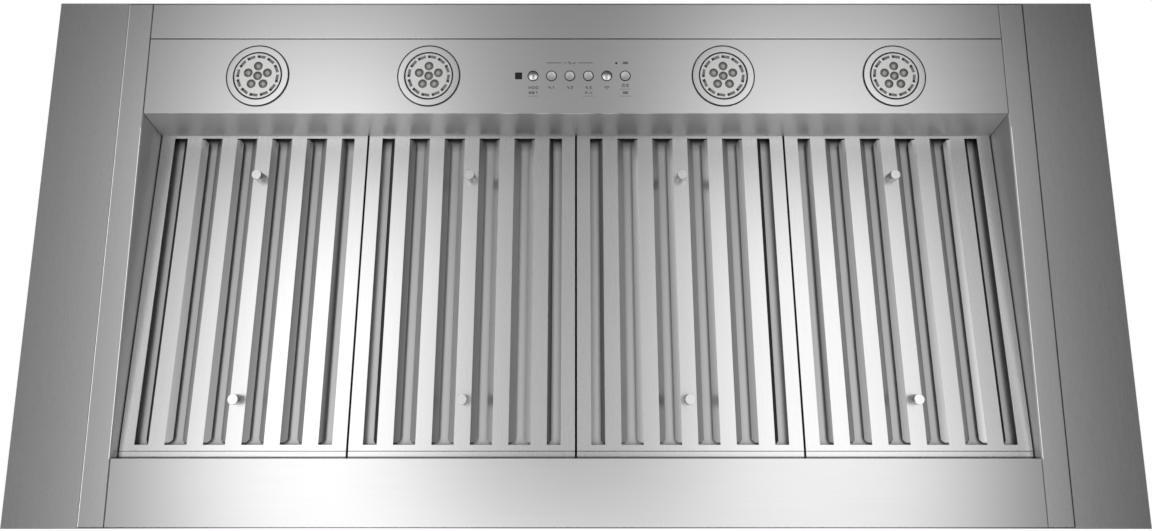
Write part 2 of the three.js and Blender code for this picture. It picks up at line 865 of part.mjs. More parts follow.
// Four angle posts, outer corners at (x, y), tied round by flat bars at both ends.
function hangerFrame(x, y, height) {
  const parts = quadrants.flatMap(([sx, sy]) => {
    const corner = [sx * x, sy * y, 0];
    return [
      block(corner, [sx * (x - postWidth), sy * (y - frameSheet), height]),
      block(corner, [sx * (x - frameSheet), sy * (y - postWidth), height]),
    ];
  });
  for (const z of [0, height - postWidth]) {
    for (const side of [-1, 1]) {
      parts.push(
        block([-x, side * y, z], [x, side * (y - frameSheet), z + postWidth]),
        block([side * x, -y, z], [side * (x - frameSheet), y, z + postWidth]),
      );
    }
  }
  return geometryOf(join(...parts));
}

// Plate with a turned-down flange, open in the middle for the duct and slotted for the ceiling
// screws.
function ceilingBracket(x, y) {
  const open = [x - bracketRim, y - bracketRim];
  const inner = [x - frameSheet, y - frameSheet];
  const half = [screwSlot.length / 2, screwSlot.width / 2];
  const slots = quadrants.map(([sx, sy]) => {
    const slot = block([-half[0], -half[1], -bracketFlange], [half[0], half[1], 1]);
    return slot.translate(sx * (x - screwSlot.inset), (sy * (y + open[1])) / 2, 0);
  });
  const body = cut(
    solid(block([-x, -y, -bracketFlange], [x, y, 0])),
    block([-inner[0], -inner[1], -bracketFlange - 1], [inner[0], inner[1], -frameSheet]),
    block([-open[0], -open[1], -bracketFlange], [open[0], open[1], 1]),
    ...slots,
  );
  return geometryOf(body);
}

// Junction box for the supply, with a knock-out in one end.
function wiringBoxPiece() {
  const { width, depth, height, knockout } = wiringBox;
  const x = width / 2;
  const y = depth / 2;
  const knockoutHole = rod(knockout, y - 2 * sheet, y + sheet).rotateX(-Math.PI / 2);
  const body = cut(
    solid(block([-x, -y, 0], [x, y, height])),
    block([sheet - x, sheet - y, sheet], [x - sheet, y - sheet, height - sheet]),
    knockoutHole.translate(0, 0, height / 2),
  );
  return geometryOf(body);
}

// ---------------------------------------------------------------- the assembly

addPiece("canopy_shell", canopyShell(), "brushed");
addPiece("canopy_top_plate", canopyTopPlate(), "galvanised");
addPiece("side_rail_left", sideRailPiece(-1), "brushed");
addPiece("side_rail_right", sideRailPiece(1), "brushed");
addPiece("front_rail", frontRailPiece(), "brushed");
addPiece("rear_rail", rearRailPiece(), "brushed");
addPiece("control_fascia", fasciaPiece(), "brushed");

for (let i = 0; i < filterCount; i += 1) addFilter(i);

lampPlaces.forEach((x, i) => {
  addPiece(`lamp_${i + 1}_holder`, lampHolder(), "brushed").position.set(x, controlLine, 0);
  addPiece(`lamp_${i + 1}`, lamp(), "lampFace").position.set(x, controlLine, -lampRingThickness);
});

const buttonNames = ["power", "speed_1", "speed_2", "speed_3", "light", "filter_reset"];
buttonNames.forEach((name, i) => {
  const cap = addPiece(`button_${name}`, button(domedButtons.includes(i)), "polished");
  cap.position.set(firstButton + i * buttonPitch, controlLine, 0);
});
addPiece("status_window", statusWindow(), "darkPlastic").position.set(windowPlace, controlLine, 0);
addPiece("filter_indicator", indicator(), "darkPlastic").position.set(...indicatorPlace, 0);
addPiece("control_board", controlBoard(), "circuitBoard");
addPiece("control_housing", controlHousing(), "greyPlastic");

const blowerUnit = new THREE.Group(); // its origin is on the impellers' axis
blowerUnit.position.set(0, outletMiddle, blowerAxis);
hood.add(blowerUnit);
addPiece("blower_housing", blowerHousing(), "galvanised", blowerUnit);
addPiece("blower_motor", blowerMotor(), "greyPlastic", blowerUnit);
addPiece("motor_shaft", motorShaft(), "galvanised", blowerUnit);
addPiece("impeller_left", wheel(-1), "galvanised", blowerUnit);
addPiece("impeller_right", wheel(1), "galvanised", blowerUnit);

const sides = [
  [-1, "front"],
  [1, "rear"],
];

const duct = new THREE.Group();
duct.position.z = collarBottom;
hood.add(duct);
addPiece("duct_collar", ductCollar(), "galvanised", duct);
addPiece("damper_pin", damperPin(), "galvanised", duct).position.z = pinHeight;
for (const [side, name] of sides) {
  const flap = damperFlap(side, knuckle[name]);
  addPiece(`damper_flap_${name}`, flap, "galvanised", duct).position.z = pinHeight;
}
addPiece("wiring_box", wiringBoxPiece(), "galvanised", duct).position.x = wiringPlace;

const upperCoverHeight = overallHeight - fit - upperCoverBottom;
for (const [side, name] of sides) {
  const lower = coverHalf(chimneyWidth, chimneyDepth, lowerCoverHeight, side);
  addPiece(`chimney_lower_${name}`, lower, "brushed").position.z = canopyHeight + fit;
  const upper = coverHalf(upperCover.width, upperCover.depth, upperCoverHeight, side);
  addPiece(`chimney_upper_${name}`, upper, "brushed").position.z = upperCoverBottom;
}
addPiece("ceiling_bracket", ceilingBracket(bracketHalf.x, bracketHalf.y), "galvanised", assembly);
const upperFrameHeight = overallHeight - frameSheet - fit - (lowerFrameTop - frameOverlap);
addPiece(
  "upper_frame",
  hangerFrame(upperFrameHalf.x, upperFrameHalf.y, upperFrameHeight),
  "galvanised",
).position.z = lowerFrameTop - frameOverlap;
addPiece(
  "lower_frame",
  hangerFrame(lowerFrameHalf.x, lowerFrameHalf.y, lowerFrameTop - canopyHeight - fit),
  "galvanised",
).position.z = canopyHeight + fit;

export default assembly;
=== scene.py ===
"""Island range hood: materials, lamps, buttons, printed marks, studio and camera round the CAD frame.
Metres, +Z up. The hood hangs from the ceiling at z = 0; its underside, which the camera looks up at,
is the level UNDERSIDE, and -Y is the side with the controls."""

import json
import math

import bmesh
import bpy
from mathutils import Matrix, Vector


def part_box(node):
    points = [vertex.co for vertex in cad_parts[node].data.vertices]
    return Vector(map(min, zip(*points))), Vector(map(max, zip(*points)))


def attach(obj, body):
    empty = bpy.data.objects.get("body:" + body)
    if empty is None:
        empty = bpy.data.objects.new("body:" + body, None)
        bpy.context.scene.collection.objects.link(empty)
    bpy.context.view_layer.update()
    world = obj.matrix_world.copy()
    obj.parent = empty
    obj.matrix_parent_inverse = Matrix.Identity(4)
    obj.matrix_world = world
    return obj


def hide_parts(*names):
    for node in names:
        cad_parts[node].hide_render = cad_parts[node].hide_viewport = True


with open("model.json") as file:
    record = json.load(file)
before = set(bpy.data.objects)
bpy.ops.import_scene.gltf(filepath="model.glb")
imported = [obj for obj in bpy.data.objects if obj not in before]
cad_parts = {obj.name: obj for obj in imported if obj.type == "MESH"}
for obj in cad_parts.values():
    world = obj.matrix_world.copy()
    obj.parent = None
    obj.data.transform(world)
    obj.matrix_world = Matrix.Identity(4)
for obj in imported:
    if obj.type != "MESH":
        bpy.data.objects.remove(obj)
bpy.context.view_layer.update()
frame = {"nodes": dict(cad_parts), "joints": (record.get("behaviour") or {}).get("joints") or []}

MM = 0.001
NODES = frame["nodes"]
JOINTS = {joint["name"]: joint for joint in frame["joints"]}
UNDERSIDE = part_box("control_fascia")[0].z


def middle(node):
    low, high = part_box(node)
    return (low + high) / 2


def radius_of(node):
    low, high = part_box(node)
    return (high.x - low.x) / 2


def on_underside(node):
    """The place straight under a node, level with the underside."""
    return Matrix.Translation((*middle(node).xy, UNDERSIDE))


# ---------------------------------------------------------------- meshes

ON_AXIS = 1e-7  # a radius below this is a point on the axis


def add_object(name, bm, materials, body, smooth_angle=30):
    """Makes a mesh into a piece that moves with a body; its edges stay sharp above an angle."""
    bmesh.ops.recalc_face_normals(bm, faces=bm.faces)
    mesh = bpy.data.meshes.new(name)
    bm.to_mesh(mesh)
    bm.free()
    for material in materials:
        mesh.materials.append(material)
    mesh.polygons.foreach_set("use_smooth", [True] * len(mesh.polygons))
    mesh.set_sharp_from_angle(angle=math.radians(smooth_angle))
    piece = bpy.data.objects.new(name, mesh)
    bpy.context.scene.collection.objects.link(piece)
    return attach(piece, body)


def arc(centre, radius, start, end, steps):
    """Points on a circle's arc, angles in degrees."""
    turns = [math.radians(start + (end - start) * i / steps) for i in range(steps + 1)]
    return [(centre[0] + radius * math.cos(t), centre[1] + radius * math.sin(t)) for t in turns]


def lathe(bm, profile, place, segments, dark):
    """Turns (radius, height) points round Z; a point on the axis becomes one vertex. The steps of
    the profile whose numbers are in dark take the second material."""
    rings = []
    for radius, height in profile:
        if radius < ON_AXIS:
            rings.append([bm.verts.new(place @ Vector((0, 0, height)))])
            continue
        turns = (2 * math.pi * i / segments for i in range(segments))
        points = ((radius * math.cos(t), radius * math.sin(t), height) for t in turns)
        rings.append([bm.verts.new(place @ Vector(point)) for point in points])
    for step, (low, high) in enumerate(zip(rings, rings[1:])):
        for i in range(segments):
            j = (i + 1) % segments
            corners = [low[i % len(low)], low[j % len(low)], high[j % len(high)], high[i % len(high)]]
            unique = list(dict.fromkeys(corners))
            if len(unique) > 2:
                bm.faces.new(unique).material_index = int(step in dark)


def slab(bm, line, width, place, thickness):
    """A flat stroke along a line of (right, up) points, as thick as the ink stands on the sheet."""
    points = [Vector(p) for p in line]
    steps = [(b - a).normalized() for a, b in zip(points, points[1:])]
    corners = []
    for point, arriving, leaving in zip(points, steps[:1] + steps, steps + steps[-1:]):
        along = (arriving + leaving).normalized()
        across = Vector((-along.y, along.x)) * width / 2 / max(along.dot(leaving), 0.5)
        sides = [(*side, z) for side in (point + across, point - across) for z in (0, thickness)]
        corners.append([bm.verts.new(place @ Vector(side)) for side in sides])
    for here, there in zip(corners, corners[1:]):
        for a, b in ((0, 1), (1, 3), (3, 2), (2, 0)):
            bm.faces.new((here[a], here[b], there[b], there[a]))
    for end in (corners[0], corners[-1]):
        bm.faces.new((end[0], end[1], end[3], end[2]))


# ---------------------------------------------------------------- materials

class Wiring:
    """Short ways to wire the nodes of a material, a light or the world."""

    def __init__(self, tree):
        self.tree = tree

    def node(self, kind, **settings):
        made = self.tree.nodes.new(kind)
        for key, value in settings.items():
            setattr(made, key, value)
        return made

    def link(self, source, target):
        self.tree.links.new(source, target)

    def combined(self, kind, operation, first, second):
        """A math node on two inputs, each a socket or a constant."""
        made = self.node(kind, operation=operation)
        for socket, value in zip(made.inputs, (first, second)):
            if hasattr(value, "is_linked"):
                self.link(value, socket)
            else:
                socket.default_value = value
        return made

    def math(self, operation, first, second=0):
        return self.combined("ShaderNodeMath", operation, first, second).outputs["Value"]

    def vector_math(self, operation, first, second):
        return self.combined("ShaderNodeVectorMath", operation, first, second).outputs["Vector"]

    def reach(self, place, direction):
        """How far a place lies in a direction."""
        return self.combined("ShaderNodeVectorMath", "DOT_PRODUCT", place, direction).outputs["Value"]

    def scaled(self, vector, factor):
        made = self.combined("ShaderNodeVectorMath", "SCALE", vector, (0, 0, 0))
        self.link(factor, made.inputs["Scale"])
        return made.outputs["Vector"]

    def product(self, first, *others):
        for other in others:
            first = self.math("MULTIPLY", first, other)
        return first

    def part_of(self, vector, axis):
        parts = self.node("ShaderNodeSeparateXYZ")
        self.link(vector, parts.inputs["Vector"])
        return parts.outputs[axis]

    def ramp(self, value, low, high, start=0.3, end=0.7):
        """Maps value from start..end to low..high."""
        spread = self.node("ShaderNodeMapRange")
        limits = {"From Min": start, "From Max": end, "To Min": low, "To Max": high}
        for socket, number in limits.items():
            spread.inputs[socket].default_value = number
        self.link(value, spread.inputs["Value"])
        return spread.outputs["Result"]

    def colour_ramp(self, value, stops, interpolation="LINEAR"):
        """stops are (place, (r, g, b))."""
        ramp = self.node("ShaderNodeValToRGB")
        ramp.color_ramp.interpolation = interpolation
        elements = ramp.color_ramp.elements
        while len(elements) < len(stops):
            elements.new(0.5)
        for element, (place, colour) in zip(elements, stops):
            element.position = place
            element.color = (*colour, 1)
        self.link(value, ramp.inputs["Fac"])
        return ramp.outputs["Color"]

    def steps(self, value, levels):
        """A value that changes in steps; levels are (place, value from there on)."""
        return self.colour_ramp(value, [(place, (level,) * 3) for place, level in levels], "CONSTANT")

    def only_where(self, share, value):
        """The value where share is 1, and 1 where it is 0."""
        mix = self.node("ShaderNodeMix", data_type="FLOAT")
        mix.inputs["A"].default_value = 1
        self.link(share, mix.inputs["Factor"])
        self.link(value, mix.inputs["B"])
        return mix.outputs["Result"]


class Finish(Wiring):
    """A Principled material and short ways to wire procedural texture into it."""

    def __init__(self, name, colour, roughness, metallic=0.0, **constants):
        self.material = bpy.data.materials.new(name)
        self.material.use_nodes = True
        super().__init__(self.material.node_tree)
        self.inputs = self.tree.nodes["Principled BSDF"].inputs
        self.inputs["Base Color"].default_value = (*colour, 1)
        self.inputs["Roughness"].default_value = roughness
        self.inputs["Metallic"].default_value = metallic
        for socket, value in constants.items():
            self.inputs[socket.replace("_", " ")].default_value = value

    def anywhere(self):
        return self.node("ShaderNodeTexCoord").outputs["Object"]

    def facing(self):
        """The true direction of the face."""
        return self.node("ShaderNodeNewGeometry").outputs["True Normal"]

    def noise(self, place, scale, detail=3):
        """Noise at a place, a socket in metres; scale in cells per metre."""
        texture = self.node("ShaderNodeTexNoise")
        texture.inputs["Scale"].default_value = scale
        texture.inputs["Detail"].default_value = detail
        self.link(place, texture.inputs["Vector"])
        return texture.outputs["Fac"]

    def colours(self, value, stops):
        self.link(self.colour_ramp(value, stops), self.inputs["Base Color"])

    def bump(self, height, strength, distance):
        bump = self.node("ShaderNodeBump")
        bump.inputs["Strength"].default_value = strength
        bump.inputs["Distance"].default_value = distance
        self.link(height, bump.inputs["Height"])
        self.link(bump.outputs["Normal"], self.inputs["Normal"])


ALONG, ACROSS, UPRIGHT = (1, 0, 0), (0, 1, 0), (0, 0, 1)  # grain directions
FINE_GRAIN, BROAD_GRAIN, CLOUDS = 2400, 700, 5  # cells per metre, of the grain across its lines
STRETCH = 0.99  # the share of a grain line's length that is taken out of its texture
GLOSS_SPREAD = 0.01
GRAIN_RELIEF, GRAIN_DEPTH = 0.02, 0.02 * MM
BLUE_CAST = 1.004


def brushed_steel(name, grain, shade=0.62, roughness=0.28, contrast=0.008, anisotropy=0.3, painted_shade_and_dulling=None):
    """Satin stainless steel; its gloss spreads across its grain. grain is a direction, or makes a
    socket that gives it. The last argument, if given, makes two sockets: painted light and shade that
    multiplies the colour, and what is added to the roughness."""
    finish = Finish(name, (shade,) * 3, roughness, 1.0, Anisotropic=anisotropy)
    along = grain(finish) if callable(grain) else grain
    place = finish.anywhere()
    run = finish.scaled(along, finish.math("MULTIPLY", finish.reach(place, along), STRETCH))
    drawn_out = finish.vector_math("SUBTRACT", place, run)
    fine = finish.noise(drawn_out, FINE_GRAIN, detail=2)
    broad = finish.noise(drawn_out, BROAD_GRAIN)
    cloud = finish.noise(place, CLOUDS, detail=2)
    gloss = finish.ramp(fine, roughness - GLOSS_SPREAD, roughness + GLOSS_SPREAD)
    streaks = finish.ramp(broad, 1 - contrast, 1 + contrast)
    patches = finish.ramp(cloud, 1 - contrast, 1 + contrast)
    tone = finish.math("MULTIPLY", streaks, patches)
    if painted_shade_and_dulling is not None:
        dimming, dulling = painted_shade_and_dulling(finish)
        tone = finish.math("MULTIPLY", tone, dimming)
        gloss = finish.math("ADD", gloss, dulling)
    finish.link(gloss, finish.inputs["Roughness"])
    finish.link(finish.scaled((shade, shade, shade * BLUE_CAST), tone), finish.inputs["Base Color"])
    finish.bump(fine, GRAIN_RELIEF, GRAIN_DEPTH)
    normal = finish.node("ShaderNodeNewGeometry").outputs["Normal"]
    finish.link(finish.vector_math("CROSS_PRODUCT", normal, along), finish.inputs["Tangent"])
    return finish.material


PUSH = Vector(JOINTS["filter_1_push"]["axis"])  # along the filters, towards the controls
FILTER_UP = Vector(ALONG).cross(-PUSH)  # square to their faces, into the hood
FILTER_PITCH = middle("filter_2_front_baffle").x - middle("filter_1_front_baffle").x
BAFFLE = [vert.co for vert in NODES["filter_1_front_baffle"].data.vertices]
FILTER_FACE = min(point.dot(FILTER_UP) for point in BAFFLE)
FRONT_BAND, REAR_BAND = 17.6 * MM, 25.7 * MM  # the filter's solid ends, before and behind its slots
SLOT_START = min(point.dot(-PUSH) for point in BAFFLE) + FRONT_BAND
SLOT_END = max(point.dot(-PUSH) for point in BAFFLE) - REAR_BAND
FOLDS_TOP = 7 * MM  # over the filter's face: the folded edges are below, the rear baffle above
FOLDED, FLANK = 0.3, 0.8  # the sideways part of a normal, from which a face counts as one of these
SQUARE = 0.9  # the part of a normal along an axis, from which a face counts as square to it
# the share of the colour left on the filters' side walls: painted shade
DEEP_SHADE = 0.06
INSIDE = 1.5 * MM  # over the filter's face or the underside: from here on, a place lies inside
FILTER_HEIGHT = 55 * MM  # over the underside; the filters are about as high at the fascia's wall
MIDDLE_SHADE_FULL, MIDDLE_SHADE_GONE = 60 * MM, 240 * MM  # from the hood's middle: the wall's painted shade is full out to the first and gone by the second


def painted_shade_in_slots(finish):
    """Painted light and shade in the filters, on the bars' own colour. Folded edges that face the
    hood's right end are painted darker and the side walls nearly black; folded edges that face its left
    end are painted lit near the bar and shaded deeper in. The strips behind the slots are painted
    darker, with painted shadow at each slot's front end and in the rear corners of its folds. The
    slanted step before the rear edge, a little of the front end and each filter's rounded outer edges
    are painted in shade."""
    place = finish.anywhere()
    level = finish.math("SUBTRACT", finish.reach(place, tuple(FILTER_UP)), FILTER_FACE)
    back = finish.reach(place, tuple(-PUSH))
    sideways = finish.part_of(finish.facing(), "X")
    leftwards = finish.math("MULTIPLY", sideways, -1)
    lengthwise = finish.math("ABSOLUTE", finish.reach(finish.facing(), tuple(PUSH)))
    folded = finish.math("GREATER_THAN", finish.math("ABSOLUTE", sideways), FOLDED / 2)
    fold_to_left = finish.steps(leftwards, [(0, 0), (FOLDED, 1), (FLANK, 0)])
    inside = finish.ramp(level, 0, 1, INSIDE, 2 * INSIDE)
    from_joint = finish.math("PINGPONG", finish.part_of(place, "X"), FILTER_PITCH / 2)

    # Each is the share of the colour left by painted light and shade.
    to_right = finish.steps(sideways, [(0, 1), (FOLDED, 0.72), (FLANK, DEEP_SHADE)])
    to_left = finish.steps(leftwards, [(0, 1), (FLANK, DEEP_SHADE)])
    # painted light near the bar on folds that face the hood's left end, turning to painted shade deeper
    # in
    painted_fold_light_and_shade = finish.only_where(fold_to_left, finish.ramp(level, 1.15, 0.6, 0, FOLDS_TOP))
    behind = finish.ramp(level, 1, 0.74, FOLDS_TOP - 1 * MM, FOLDS_TOP + 1 * MM)
    slot_front = finish.ramp(back, 0.3, 1, SLOT_START, SLOT_START + 17 * MM)
    slot_corner = finish.ramp(back, 1, 0.25, SLOT_END - 3.5 * MM, SLOT_END - 2 * MM)
    on_step = finish.steps(lengthwise, [(0, 1), (FOLDED, 0.5), (SQUARE, 1)])
    front_end = finish.ramp(back, 0.9, 1, SLOT_START, SLOT_START + 75 * MM)
    edge = finish.ramp(from_joint, 0.04, 1, 1.2 * MM, 1.6 * MM)
    shade = finish.product(
        to_right, to_left, painted_fold_light_and_shade, behind, on_step, front_end, edge,
        finish.only_where(inside, slot_front), finish.only_where(folded, slot_corner),
    )
    return shade, finish.ramp(level, 0, 0.13, 1 * MM, FOLDS_TOP + 1 * MM)


def painted_shade_on_walls(at_fold, at_filters, dulling, in_middle=1):
    """Painted light and shade inside the recess, on the walls and the ledges: the share of the colour
    left at the underside's fold and where the filters are, above 1 for painted light, and what is added
    to the roughness. The hood's middle may be painted darker, where the share `in_middle` of that is
    left."""
    def painted_shade_and_dulling(finish):
        height = finish.math("SUBTRACT", finish.part_of(finish.anywhere(), "Z"), UNDERSIDE)
        inside = finish.math("GREATER_THAN", height, INSIDE)
        by_height = finish.ramp(height, at_fold, at_filters, 0, FILTER_HEIGHT)
        from_middle = finish.math("ABSOLUTE", finish.part_of(finish.anywhere(), "X"))
        by_side = finish.ramp(from_middle, in_middle, 1, MIDDLE_SHADE_FULL, MIDDLE_SHADE_GONE)
        left = finish.only_where(inside, finish.product(by_height, by_side))
        return left, finish.ramp(inside, 0, dulling, 0, 1)
    return painted_shade_and_dulling


LONG_SIDE = 0.4  # the least part of a normal towards the front or rear, on the canopy's long sides


def level_round_canopy(finish):
    """Grain direction of the canopy: level round its four sides, and along its ends underneath."""
    to_front_or_rear = finish.math("ABSOLUTE", finish.part_of(finish.facing(), "Y"))
    on_long_sides = finish.math("GREATER_THAN", to_front_or_rear, LONG_SIDE)
    on_top = finish.math("GREATER_THAN", finish.part_of(finish.facing(), "Z"), SQUARE)
    lengthwise = finish.math("MAXIMUM", on_long_sides, on_top)
    direction = finish.node("ShaderNodeCombineXYZ")
    finish.link(lengthwise, direction.inputs["X"])
    finish.link(finish.math("SUBTRACT", 1.0, lengthwise), direction.inputs["Y"])
    return direction.outputs["Vector"]


LONG_STRIPS = {"roughness": 0.3, "contrast": 0.014, "anisotropy": 0.1}
# Painted light and shade on the recess walls: the fascia's wall lighter, most at the fold, and darker
# in the middle; the side walls a little darker
fascia_painted_shade = painted_shade_on_walls(1.45, 1.1, 0.22, in_middle=0.59)
lip_painted_shade = painted_shade_on_walls(0.25, 0.25, 0.1)  # painted shade: the rear rail's lip stands in the filters' shade
side_painted_shade = painted_shade_on_walls(0.9, 0.86, 0.2)

steel_x = brushed_steel("steel_brushed_along_hood", ALONG, painted_shade_and_dulling=fascia_painted_shade, **LONG_STRIPS)
rear_steel = brushed_steel("steel_brushed_rear_rail", ALONG, painted_shade_and_dulling=lip_painted_shade, **LONG_STRIPS)
# the side rails' steel is a darker copy: painted shade for the light falling off towards the hood's
# ends
steel_y = brushed_steel("steel_brushed_across_hood", ACROSS, shade=0.6, painted_shade_and_dulling=side_painted_shade)
steel_z = brushed_steel("steel_brushed_upright", UPRIGHT)
# the canopy's steel is a darker copy too: painted shade for the same fall-off
canopy_steel = brushed_steel("steel_brushed_round_canopy", level_round_canopy, shade=0.57)
filter_steel = brushed_steel("filter_steel", tuple(PUSH), shade=0.7, painted_shade_and_dulling=painted_shade_in_slots)
ring_steel = brushed_steel("spun_ring_steel", ALONG)
# a lighter copy of the steel: painted highlight on the pressed edges
edge_steel_painted_highlight = brushed_steel("pressed_edge_steel", ALONG, shade=0.75, roughness=0.25)


DARKER, LIGHTER = 0.93, 1.06
MOTTLE_RELIEF = 0.2


def plain(name, colour, roughness, metallic=0.0, grain=900, spread=0.06, depth=0.03):
    """Cast, moulded or painted surface: fine mottling in colour, gloss and relief. grain is in cells
    per metre, depth in millimetres."""
    finish = Finish(name, colour, roughness, metallic)
    mottle = finish.noise(finish.anywhere(), grain)
    finish.link(finish.ramp(mottle, roughness - spread, roughness + spread), finish.inputs["Roughness"])
    darker, lighter = [c * DARKER for c in colour], [min(c * LIGHTER, 1) for c in colour]
    finish.colours(mottle, [(0.3, darker), (0.7, lighter)])
    finish.bump(mottle, MOTTLE_RELIEF, depth * MM)
    return finish.material


knob_metal = plain("knob_turned_steel", (0.77, 0.77, 0.78), 0.26, 1.0, spread=0.03, depth=0.01)
# a darker copy of the knob's steel, for its side: painted shade
knob_side_painted_shade = plain("knob_side_steel", (0.42, 0.42, 0.43), 0.34, 1.0, spread=0.03, depth=0.01)
button_metal = plain("button_polished_metal", (0.66, 0.67, 0.68), 0.3, 1.0, spread=0.03, depth=0.01)
button_satin = plain("button_satin_metal", (0.62, 0.63, 0.64), 0.42, 1.0, spread=0.03, depth=0.01)
lamp_silver = plain("lamp_face_silver", (0.72, 0.72, 0.71), 0.33, 0.85, spread=0.03, depth=0.01)
black_gloss = plain("window_black_gloss", (0.012, 0.012, 0.014), 0.12, 0.0, spread=0.03)
board_green = plain("circuit_board_green", (0.03, 0.16, 0.07), 0.45, 0.0)
grey_moulding = plain("moulded_grey_plastic", (0.2, 0.21, 0.22), 0.55, 0.0)
motor_enamel = plain("motor_enamel", (0.06, 0.065, 0.07), 0.4, 0.0)
shaft_metal = plain("ground_shaft_steel", (0.6, 0.61, 0.62), 0.28, 1.0)


def galvanised():
    """Zinc coating with its large, soft crystals."""
    finish = Finish("galvanised_zinc", (0.42, 0.44, 0.46), 0.45, 0.85)
    spangle = finish.node("ShaderNodeTexVoronoi", feature="F1")
    spangle.inputs["Scale"].default_value = 110
    finish.link(finish.anywhere(), spangle.inputs["Vector"])
    crystal = spangle.outputs["Color"]
    finish.colours(crystal, [(0.2, (0.36, 0.38, 0.40)), (0.8, (0.50, 0.52, 0.54))])
    finish.link(finish.ramp(crystal, 0.36, 0.56, 0, 1), finish.inputs["Roughness"])
    finish.bump(finish.noise(finish.anywhere(), 700), 0.15, 0.03 * MM)
    return finish.material


zinc = galvanised()

NODE_MATERIALS = {
    "canopy_shell": canopy_steel,
    "side_rail_left": steel_y,
    "side_rail_right": steel_y,
    "front_rail": steel_x,
    "rear_rail": rear_steel,
    "control_fascia": steel_x,
    "status_window": black_gloss,
    "filter_indicator": black_gloss,
    "control_board": board_green,
    "control_housing": grey_moulding,
    "blower_motor": motor_enamel,
    "motor_shaft": shaft_metal,
    "damper_pin": shaft_metal,
}
NAME_STARTS = [
    ("chimney_", steel_z),
    ("filter_", filter_steel),
    ("lamp_", lamp_silver),
    ("button_", button_metal),
]

NAME_ENDS = [
    ("_knob", knob_metal),
    ("_holder", ring_steel),
]


def material_of(name):
    if name in NODE_MATERIALS:
        return NODE_MATERIALS[name]
    by_end = [material for end, material in NAME_ENDS if name.endswith(end)]
    by_start = [material for start, material in NAME_STARTS if name.startswith(start)]
    return [*by_end, *by_start, zinc][0]


for name, node in NODES.items():
    for slot in node.material_slots:
        slot.material = material_of(name)


# ---------------------------------------------------------------- lamps

FIT = 0.3 * MM
SHEET = 1.2 * MM
HAIR = 0.01 * MM  # keeps two faces apart that would lie in one plane
GROOVE = 1.1 * MM  # between the lamp and its ring
RIM = 1.7 * MM  # the painted shadow line round the ring, black on its rim
SOCKET_RADIUS = 15 * MM  # of the hole in the can's floor
LAMPS = FILTERS = range(1, 5)
LAMP_RADIUS = radius_of("lamp_1")
LENS_RADIUS = 5.5 * MM
LENS_CIRCLE = 13.2 * MM
LENS_COUNT = 5  # round the one in the middle
VENT_COUNT = 12
VENT_CIRCLE = LAMP_RADIUS - 5.2 * MM
VENT_TURN = 0.14  # radians
VENT_WIDTH, VENT_LENGTH, VENT_DEPTH = 3.7 * MM, 10.6 * MM, 1.5 * MM
RING_FACETS, CAP_FACETS, LENS_FACETS = 96, 64, 40


def lens_glass():
    """Clear dome: the dark collar shows round its edge and the pale chip through its middle."""
    finish = Finish("lamp_lens", (0.1, 0.1, 0.1), 0.22, Coat_Weight=0.5, Coat_Roughness=0.1)
    away = finish.node("ShaderNodeAttribute", attribute_name="from_middle").outputs["Fac"]
    specks = finish.noise(finish.anywhere(), 1500)
    finish.colours(finish.math("ADD", away, finish.ramp(specks, -0.04, 0.04)), [
        (0.0, (0.66, 0.66, 0.65)),
        (0.3, (0.42, 0.42, 0.41)),
        (0.65, (0.22, 0.22, 0.215)),
        (1.0, (0.12, 0.12, 0.12)),
    ])
    finish.link(finish.ramp(specks, 0.18, 0.28), finish.inputs["Roughness"])
    return finish.material


lens_finish = lens_glass()
rubber = plain("black_rubber", (0.02, 0.02, 0.021), 0.6)
# black for the end of each vent: painted shade
vent_painted_shade = plain("lamp_vent_dark", (0.05, 0.05, 0.05), 0.6)
collar_grey = plain("lens_collar_grey", (0.14, 0.14, 0.14), 0.4)
vent_grey = plain("lamp_vent_grey", (0.3, 0.3, 0.295), 0.5)


def spun(name, bright, dark, place, materials, body, segments=RING_FACETS, smooth_angle=30):
    """One closed spun piece; the profile runs over the bright points, then over the dark ones."""
    bm = bmesh.new()
    profile = [*bright, *dark]
    if profile[0][0] > ON_AXIS:
        profile.append(profile[0])
    lathe(bm, profile, place, segments, dark=range(len(bright) - 1, len(profile) - 1))
    bmesh.ops.remove_doubles(bm, verts=bm.verts, dist=0.001 * MM)
    return add_object(name, bm, materials, body, smooth_angle)


def add_holder(number):
    """Flange and can in one piece; the flange's rim is turned up, and it and the can take the black
    rubber: on the rim a painted shadow line round the ring.
    """
    node = f"lamp_{number}_holder"
    outer = radius_of(node)
    inner = LAMP_RADIUS + GROOVE
    bottom = -FIT - SHEET
    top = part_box(node)[1].z - UNDERSIDE
    inner_edge, outer_edge, turned_up = 0.35 * MM, 0.15 * MM, 0.05 * MM
    bright = [
        *arc((inner + inner_edge, bottom + inner_edge), inner_edge, 180, 270, 4),
        (outer - RIM, bottom),
    ]
    dark = [
        (outer - outer_edge, bottom + turned_up),
        (outer, bottom + turned_up + outer_edge),
        (outer, -FIT),
        (inner + SHEET, -FIT),
        (inner + SHEET, top),
        (SOCKET_RADIUS, top),
        (SOCKET_RADIUS, top - SHEET),
        (inner, top - SHEET),
    ]
    name, place = f"lamp_ring_{number}", on_underside(f"lamp_{number}")
    ring = spun(name, bright, dark, place, [ring_steel, rubber], "hood", smooth_angle=8)
    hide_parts(node)


